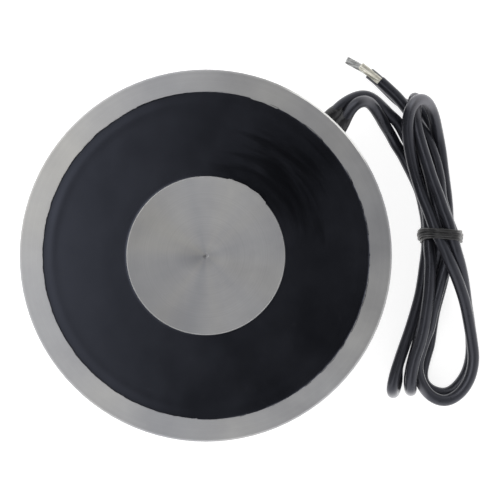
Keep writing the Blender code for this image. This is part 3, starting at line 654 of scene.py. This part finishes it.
def mixed(material, share, first, second, blend="MIX"):
    """Two colours, mixed by a share or multiplied."""
    settings = {"data_type": "RGBA", "blend_type": blend}
    return add(material, "ShaderNodeMix", settings, {0: share, 6: first, 7: second}).outputs[2]


def bumped(material, relief, strength, depth):
    """The way the surface faces over a relief, its depth in millimetres."""
    sockets = {"Strength": strength, "Distance": depth * MM, "Height": relief}
    return add(material, "ShaderNodeBump", {}, sockets).outputs[0]


def patch(material, place, middle, reach):
    """A soft patch, 1 in its middle and 0 at its reach along each axis, both in millimetres."""
    sockets = {"Vector": place}
    sockets["Location"], sockets["Scale"] = ([c * MM for c in sizes] for sizes in (middle, reach))
    near = add(material, "ShaderNodeMapping", {"vector_type": "TEXTURE"}, sockets)
    gradient = {"gradient_type": "SPHERICAL"}
    return add(material, "ShaderNodeTexGradient", gradient, {0: near.outputs[0]}).outputs[1]


def towards(material, place, way):
    """How far a place lies along a direction."""
    sockets = {0: place, 1: way}
    return add(material, "ShaderNodeVectorMath", {"operation": "DOT_PRODUCT"}, sockets).outputs["Value"]


def round_axis(material, place):
    """A place's height, its flat place, and its distance and direction from the pot's axis."""
    parts = add(material, "ShaderNodeSeparateXYZ", {}, {0: place}).outputs
    flat = add(material, "ShaderNodeCombineXYZ", {}, {0: parts[0], 1: parts[1]}).outputs[0]
    radius = add(material, "ShaderNodeVectorMath", {"operation": "LENGTH"}, {0: flat})
    outward = add(material, "ShaderNodeVectorMath", {"operation": "NORMALIZE"}, {0: flat})
    return parts[2], flat, radius.outputs["Value"], outward.outputs[0]


def blank(name):
    """A material with an empty node tree."""
    material = bpy.data.materials.new(name)
    material.use_nodes = True
    material.node_tree.nodes.clear()
    return material


def begin(name):
    """A new material, and the place that its patterns follow."""
    material = blank(name)
    return material, add(material, "ShaderNodeTexCoord").outputs["Object"]


def close(material, surface):
    """Lead the finished surface to the material's output."""
    add(material, "ShaderNodeOutputMaterial", {}, {"Surface": surface.outputs[0]})
    return material


def surfaced(material, sockets):
    """Close a material with one surface, from its colour, roughness and the like."""
    return close(material, add(material, "ShaderNodeBsdfPrincipled", {}, sockets))


def turned_steel():
    """Low-carbon steel, faced and turned on a lathe: satin grey, with fine marks round the axis."""
    m, place = begin("turned_low_carbon_steel")
    height, flat, radius, outward = round_axis(m, place)
    # The cutter's feed leaves marks about 0.1 mm apart; they are drawn 0.35 mm apart, to show
    run = worked_out(m, "ADD", radius, height)
    fine = add(
        m,
        "ShaderNodeTexNoise",
        {"noise_dimensions": "1D"},
        {"W": run, "Scale": 1 / (0.35 * MM), "Detail": 3.0, "Roughness": 0.7},
    ).outputs[0]
    # Wedges from the axis, which differ a little in shade, as a turned face shows
    wedge = add(
        m,
        "ShaderNodeTexNoise",
        {},
        {"Vector": outward, "Scale": 1.1, "Detail": 2.0, "Roughness": 0.4},
    ).outputs[0]
    handled = clouds(m, place, 9, 5.0, 0.6)
    grain = clouds(m, place, 0.5, 2.0)
    tint = picked(m, wedge, [(0.32, "#A5A6A9"), (0.5, "#AEAEAF"), (0.68, "#B6B5B2")])
    cloudy = picked(m, handled, [(0.3, "#EDEDEF"), (0.7, "#FFFFFF")])
    scored = picked(m, fine, [(0.3, "#F8F8F8"), (0.7, "#FFFFFF")])
    clouded = mixed(m, 1.0, tint, cloudy, "MULTIPLY")
    marked = mixed(m, 1.0, clouded, scored, "MULTIPLY")
    # On the pole face, painted shade: the ring is painted darker up and to the right, the core darker
    # to the left, standing in for the studio's uneven reflection; wall and back have one shade
    on_ring = worked_out(m, "GREATER_THAN", radius, 30 * MM)
    ring_place = spread(m, towards(m, outward, (-0.75, -0.66, 0.0)), -1.0, 1.0)
    ring_painted_shades = [(0.0, 0.72), (0.12, 0.74), (0.18, 0.82), (0.5, 0.94), (1.0, 0.92)]
    core_way = (-0.97 / (CORE_RADIUS * MM), -0.24 / (CORE_RADIUS * MM), 0.0)
    core_place = spread(m, towards(m, flat, core_way), -1.0, 1.0)
    core_painted_shades = [(0.0, 0.80), (0.25, 0.81), (0.45, 0.80), (0.75, 0.68), (1.0, 0.62)]
    shade = mixed(m, on_ring, picked(m, core_place, core_painted_shades), picked(m, ring_place, ring_painted_shades))
    on_face = worked_out(m, "GREATER_THAN", height, 37.3 * MM)
    wall_shade = (0.88, 0.88, 0.88, 1.0)
    shaded = mixed(m, 1.0, marked, mixed(m, on_face, wall_shade, shade), "MULTIPLY")
    # Painted shade on the core, left of the centre mark: a darker patch for the dark fan that the
    # turned face reflects there, clouded by the handling marks
    painted_fan_shade = patch(m, place, (-1.7, -0.5, 38.0), (5.2, 3.2, 4.0))
    dull = worked_out(m, "MULTIPLY", painted_fan_shade, handled)
    dulled = mixed(m, worked_out(m, "MULTIPLY", dull, 0.85), shaded, linear("#55565B"))
    # Painted highlight: the core's edge and the chamfer where the leads come out are painted paler
    # where the face tilts, as the light catches them there
    normal = add(m, "ShaderNodeNewGeometry").outputs["True Normal"]
    facing = add(m, "ShaderNodeSeparateXYZ", {}, {0: normal})
    tilted = worked_out(m, "COMPARE", facing.outputs[2], 0.7, 0.12)
    high = worked_out(m, "GREATER_THAN", height, 37.4 * MM)
    to_exit = towards(m, outward, (math.cos(EXIT_AZIMUTH), math.sin(EXIT_AZIMUTH), 0.0))
    by_exit = spread(m, to_exit, 0.94, 0.985, kind="SMOOTHSTEP")
    on_core = worked_out(m, "COMPARE", radius, 17 * MM, 3 * MM)
    dim_core = worked_out(m, "MULTIPLY", on_core, 0.45)
    edge_highlight_share = worked_out(m, "MAXIMUM", worked_out(m, "MULTIPLY", by_exit, on_ring), dim_core)
    cut = worked_out(m, "MULTIPLY", worked_out(m, "MULTIPLY", tilted, high), edge_highlight_share)
    relief = worked_out(m, "MULTIPLY_ADD", grain, 0.35, fine)
    around = add(m, "ShaderNodeTangent", {"direction_type": "RADIAL", "axis": "Z"})
    return surfaced(
        m,
        {
            # The base colour carries the painted shades and the painted highlight
            "Base Color": mixed(m, cut, dulled, linear("#DCDCDA")),
            "Metallic": 1.0,
            "Roughness": spread(m, handled, 0.25, 0.75, 0.50, 0.58),
            "Anisotropic": 0.1,
            "Normal": bumped(m, relief, 0.12, 0.02),
            "Tangent": around.outputs[0],
        },
    )


def cast_epoxy():
    """Black epoxy, poured and cured open: smooth and softly glossy, with a little dust."""
    m, place = begin("black_cast_epoxy")
    haze = clouds(m, place, 16, 4.0, 0.55)
    waves = clouds(m, place, 5, 5.0, 0.62, 0.6)
    tint = picked(m, haze, [(0.35, "#060607"), (0.7, "#0E0E10")])
    # Up and to the right the resin was drawn round the core while it cured: slicker, in long streaks
    radius, outward = round_axis(m, place)[2:]
    layer = add(m, "ShaderNodeCombineXYZ", {}, {2: worked_out(m, "DIVIDE", radius, 2.0 * MM)})
    along = add(
        m,
        "ShaderNodeVectorMath",
        {"operation": "MULTIPLY_ADD"},
        {0: outward, 1: (1.5, 1.5, 0.0), 2: layer.outputs[0]},
    ).outputs[0]
    streak = add(
        m,
        "ShaderNodeTexNoise",
        {},
        {"Vector": along, "Scale": 1.0, "Detail": 3.0, "Roughness": 0.55, "Distortion": 0.5},
    ).outputs[0]
    side = patch(m, place, (14.0, 15.0, 38.0), (19.0, 18.0, 15.0))
    touched = spread(m, worked_out(m, "MULTIPLY_ADD", streak, 1.6, side), 1.15, 1.75)
    few = spread(m, clouds(m, place, 1.4, 3.0, 0.7), 0.62, 0.74)
    dusty = mixed(m, worked_out(m, "MULTIPLY", few, 0.05), tint, linear("#4E4E52"))
    slick = add(
        m,
        "ShaderNodeMath",
        {"operation": "MULTIPLY_ADD", "use_clamp": True},
        {0: touched, 1: -0.12, 2: spread(m, haze, 0.3, 0.7, 0.19, 0.27)},
    )
    return surfaced(
        m,
        {
            "Base Color": mixed(m, touched, dusty, linear("#060607")),
            "Roughness": slick.outputs[0],
            "IOR": 1.5,
            "Specular Tint": linear("#DCE4FF"),
            "Normal": bumped(m, waves, 0.10, 0.04),
        },
    )


def sealing_resin():
    """Black resin that crept out of the lead hole and set: lumpy and softly glossy."""
    m, place = begin("black_sealing_resin")
    lumps = clouds(m, place, 1.2, 3.0)
    tint = picked(m, lumps, [(0.35, "#0E0E10"), (0.65, "#1C1C20")])
    bump = bumped(m, lumps, 0.6, 0.25)
    return surfaced(m, {"Base Color": tint, "Roughness": 0.22, "IOR": 1.5, "Normal": bump})


def wire_pvc():
    """Black PVC, extruded round the wire: dark, with a dull sheen and faint scuffs."""
    m, place = begin("black_extruded_pvc")
    scuff = clouds(m, place, 3.2, 5.0, 0.65)
    tint = picked(m, scuff, [(0.35, "#17181C"), (0.7, "#202126")])
    # Painted light: the insulation is painted paler towards the bottom folds, where more light falls on
    # it
    parts = add(m, "ShaderNodeSeparateXYZ", {}, {0: place})
    painted_light_share = spread(m, parts.outputs[1], 12 * MM, -34 * MM, 0.0, 0.36)
    colour = mixed(m, painted_light_share, tint, linear("#3E3F45"))
    # Painted highlights: the insulation is painted paler on its tight bends, for the light reflected
    # there
    for middle, reach, bend_highlight in BEND_HIGHLIGHTS:
        fold = patch(m, place, middle, (reach,) * 3)
        soft = spread(m, fold, 0.0, 1.0, 0.0, 0.85, kind="SMOOTHSTEP")
        colour = mixed(m, soft, colour, linear(bend_highlight))
    # Talc from the spool keeps a pale bloom on the skin
    return surfaced(
        m,
        {
            "Base Color": colour,
            "Roughness": spread(m, scuff, 0.3, 0.7, 0.24, 0.38),
            "IOR": 1.5,
            "Sheen Weight": 0.12,
            "Sheen Roughness": 0.35,
            "Sheen Tint": linear("#E4E2F0"),
            "Specular Tint": linear("#EEF0FF"),
            "Normal": bumped(m, clouds(m, place, 0.35, 2.0), 0.10, 0.03),
        },
    )


def tinned_copper(name, dark, pale):
    """Copper strands dipped in solder: a bright grey metal, dulled by flux between the strands."""
    m, place = begin(name)
    flux = clouds(m, place, 0.9, 4.0, 0.6)
    tint = picked(m, flux, [(0.35, dark), (0.62, pale)])
    rough = spread(m, flux, 0.3, 0.7, 0.42, 0.30)
    bump = bumped(m, flux, 0.12, 0.03)
    return surfaced(m, {"Base Color": tint, "Metallic": 1.0, "Roughness": rough, "Normal": bump})


def band_rubber():
    """Black rubber, moulded: matt and a little dusty."""
    m, place = begin("black_moulded_rubber")
    dust = clouds(m, place, 0.6, 4.0, 0.7)
    return surfaced(
        m,
        {
            "Base Color": picked(m, dust, [(0.35, "#0F0F10"), (0.7, "#222224")]),
            "Roughness": 0.42,
            "IOR": 1.5,
            "Sheen Weight": 0.3,
            "Sheen Roughness": 0.35,
            "Sheen Tint": linear("#F4EEE8"),
            "Normal": bumped(m, dust, 0.35, 0.04),
        },
    )


def plain_finish(name, dark, pale, roughness, grain):
    """A plain finish, clouded over the grain's size in millimetres."""
    m, place = begin(name)
    tint = picked(m, clouds(m, place, grain, 3.0), [(0.35, dark), (0.65, pale)])
    return surfaced(m, {"Base Color": tint, "Roughness": roughness})


def wound_copper():
    """Enamelled copper wire, wound in layers 0.6 mm apart: a warm metal with fine even ridges."""
    m, place = begin("wound_enamelled_copper")
    # One ridge for each turn of 0.6 mm wire; a wave's bands lie a twentieth of a full turn apart
    ridges = add(
        m,
        "ShaderNodeTexWave",
        {"wave_type": "BANDS", "bands_direction": "Z", "wave_profile": "SIN"},
        {"Vector": place, "Scale": math.tau / 20 / (0.6 * MM), "Distortion": 0.4},
    ).outputs[1]
    # Painted shade: the tint is darker in the grooves between the turns
    tint = picked(m, ridges, [(0.1, "#6E3A1C"), (0.6, "#C77B4A")])
    bump = bumped(m, ridges, 0.8, 0.2)
    return surfaced(m, {"Base Color": tint, "Metallic": 1.0, "Roughness": 0.3, "Normal": bump})


def studio_paper():
    """White paper, lit from below: it shows white, and keeps the magnet's faint shadow."""
    m = blank("white_studio_paper")
    paper = add(m, "ShaderNodeBsdfDiffuse", {}, {0: linear("#B8B8B8")})
    seen = add(m, "ShaderNodeLightPath").outputs
    plain = worked_out(m, "MULTIPLY", seen["Is Camera Ray"], 0.78)
    level = worked_out(m, "MULTIPLY_ADD", seen["Is Glossy Ray"], 1.1, plain)
    glow = add(m, "ShaderNodeEmission", {}, {"Strength": level})
    return close(m, add(m, "ShaderNodeAddShader", {}, {0: paper.outputs[0], 1: glow.outputs[0]}))


def lay_paper():
    """The pale ground that the magnet lies on."""
    bm = bmesh.new()
    half, height = 3.0, -0.0001
    corners = ((-half, -half), (half, -half), (half, half), (-half, half))
    bm.faces.new([bm.verts.new((x, y, height)) for x, y in corners])
    mesh = bpy.data.meshes.new("paper")
    bm.to_mesh(mesh)
    bm.free()
    mesh.materials.append(studio_paper())
    paper = bpy.data.objects.new("paper", mesh)
    bpy.context.scene.collection.objects.link(paper)


def soft_lamp(name, place, size, power):
    """A square soft box that points at the magnet."""
    data = bpy.data.lights.new(name, "AREA")
    data.shape = "SQUARE"
    data.size = size
    data.energy = power
    lamp = bpy.data.objects.new(name, data)
    lamp.location = place
    aim = Vector((0.01, 0.0, 0.02)) - Vector(place)
    lamp.rotation_euler = aim.to_track_quat("-Z", "Y").to_euler()
    bpy.context.scene.collection.objects.link(lamp)


def light_studio():
    """A white studio: bright low down and to the left, dark overhead where the camera hangs."""
    soft_lamp("soft_box_left", (-0.5, 0.2, 0.7), 0.7, 2.0)
    world = bpy.data.worlds.new("studio")
    world.use_nodes = True
    world.node_tree.nodes.clear()
    way = add(world, "ShaderNodeTexCoord").outputs["Generated"]
    parts = add(world, "ShaderNodeSeparateXYZ", {}, {0: way}).outputs
    across = spread(world, parts[0], -0.5, 0.5)
    stops = [(0.1, 1.4), (0.34, 1.25), (0.39, 0.5), (0.46, 0.20)]
    stops += [(0.54, 0.05), (0.62, 0.12), (0.9, 0.45)]
    overhead = picked(world, across, stops)
    # Low down it is bright, and the far right corner of the room is dimmer
    low = spread(world, parts[2], 0.90, 0.55)
    dim = spread(world, towards(world, way, (0.75, 0.66, 0.0)), 0.3, 0.9, 1.5, 0.8)
    around = worked_out(world, "MAXIMUM", overhead, worked_out(world, "MULTIPLY", low, dim))
    seen = add(world, "ShaderNodeLightPath").outputs["Is Camera Ray"]
    level = worked_out(world, "MAXIMUM", around, seen)
    surround = add(world, "ShaderNodeBackground", {}, {0: (1, 1, 1, 1), 1: level})
    add(world, "ShaderNodeOutputWorld", {}, {0: surround.outputs[0]})
    bpy.context.scene.world = world


def finish_with(piece, material):
    """Give a piece its material."""
    piece.data.materials.clear()
    piece.data.materials.append(material)


def lay_leads(pvc):
    """Both leads from the seal to the insulation's end, settled on and beside each other."""
    routes = [even_line(smooth_line(route), LEAD_STEP) for route in (LEAD_1_ROUTE, LEAD_2_ROUTE)]
    free = [hold_ends(routes[0], *LEAD_1_HELD), hold_ends(routes[1], *LEAD_2_HELD)]
    lines = settle(routes, free)
    lead_1, lead_2 = lead_cord("lead_1", lines[0]), lead_cord("lead_2", lines[1])
    finish_with(lead_1, pvc)
    finish_with(lead_2, pvc)
    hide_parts("lead_1_tail", "lead_1_end", "lead_hank")
    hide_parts("lead_2_tail", "lead_2_end")
    return lines, lead_1, lead_2


def dress_nodes(materials):
    """Give every CAD node that stays the material of its slot."""
    slots = {part["node"]: part["material_slot"] for part in frame["record"]["subparts"]}
    for node, piece in frame["nodes"].items():
        for place in piece.material_slots:
            place.material = materials[slots[node]]


set_camera()
bpy.context.scene.view_settings.view_transform = "Standard"
pvc = wire_pvc()
lines, lead_1, lead_2 = lay_leads(pvc)
steel = turned_steel()
epoxy = cast_epoxy()
rubber = band_rubber()
pale_tin = tinned_copper("solder_dipped_strands_pale", "#A9A69B", "#C9C7BC")
grey_tin = tinned_copper("solder_dipped_strands_grey", "#8F9090", "#BDBEBD")

collar = resin_collar()
finish_with(collar, sealing_resin())
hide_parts("lead_exit_seal")
resin = cast_resin()
finish_with(resin, epoxy)
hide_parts("potting_resin")
band = elastic_band(lines)
finish_with(band, rubber)
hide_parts("hank_band")
bare_1 = tinned_end("lead_1_strands", BARE_1_ROUTE, 9, 1.5)
finish_with(bare_1, grey_tin)
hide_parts("lead_1_conductor")
bare_2 = tinned_end("lead_2_strands", BARE_2_ROUTE, 8, 1.2)
finish_with(bare_2, pale_tin)
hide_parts("lead_2_conductor")
thread = mounting_thread()
finish_with(thread, steel)
core_burr = face_burr("core_burr", CORE_RADIUS, 1, [(39.5, 75.5)], 0.27)
finish_with(core_burr, steel)
ring_burr = face_burr("ring_burr", GROOVE_RADIUS, -1, [(63, 75), (114, 268)], 0.19)
finish_with(ring_burr, steel)

dress_nodes(
    {
        "steel": steel,
        "resin": epoxy,
        "black_pvc": pvc,
        "band_rubber": rubber,
        "tinned_copper": grey_tin,
        "copper": wound_copper(),
        "nylon": plain_finish("moulded_natural_nylon", "#BDB9AC", "#D2CFC4", 0.45, 2.0),
        "tape": plain_finish("amber_polyester_tape", "#A98A2C", "#C4A747", 0.3, 5.0),
        "sleeve": plain_finish("black_shrink_sleeve", "#161616", "#262626", 0.5, 1.5),
    }
)

lengths = [float(run_along(rounded_line(line))[-1]) * MM for line in lines]

lay_paper()
light_studio()
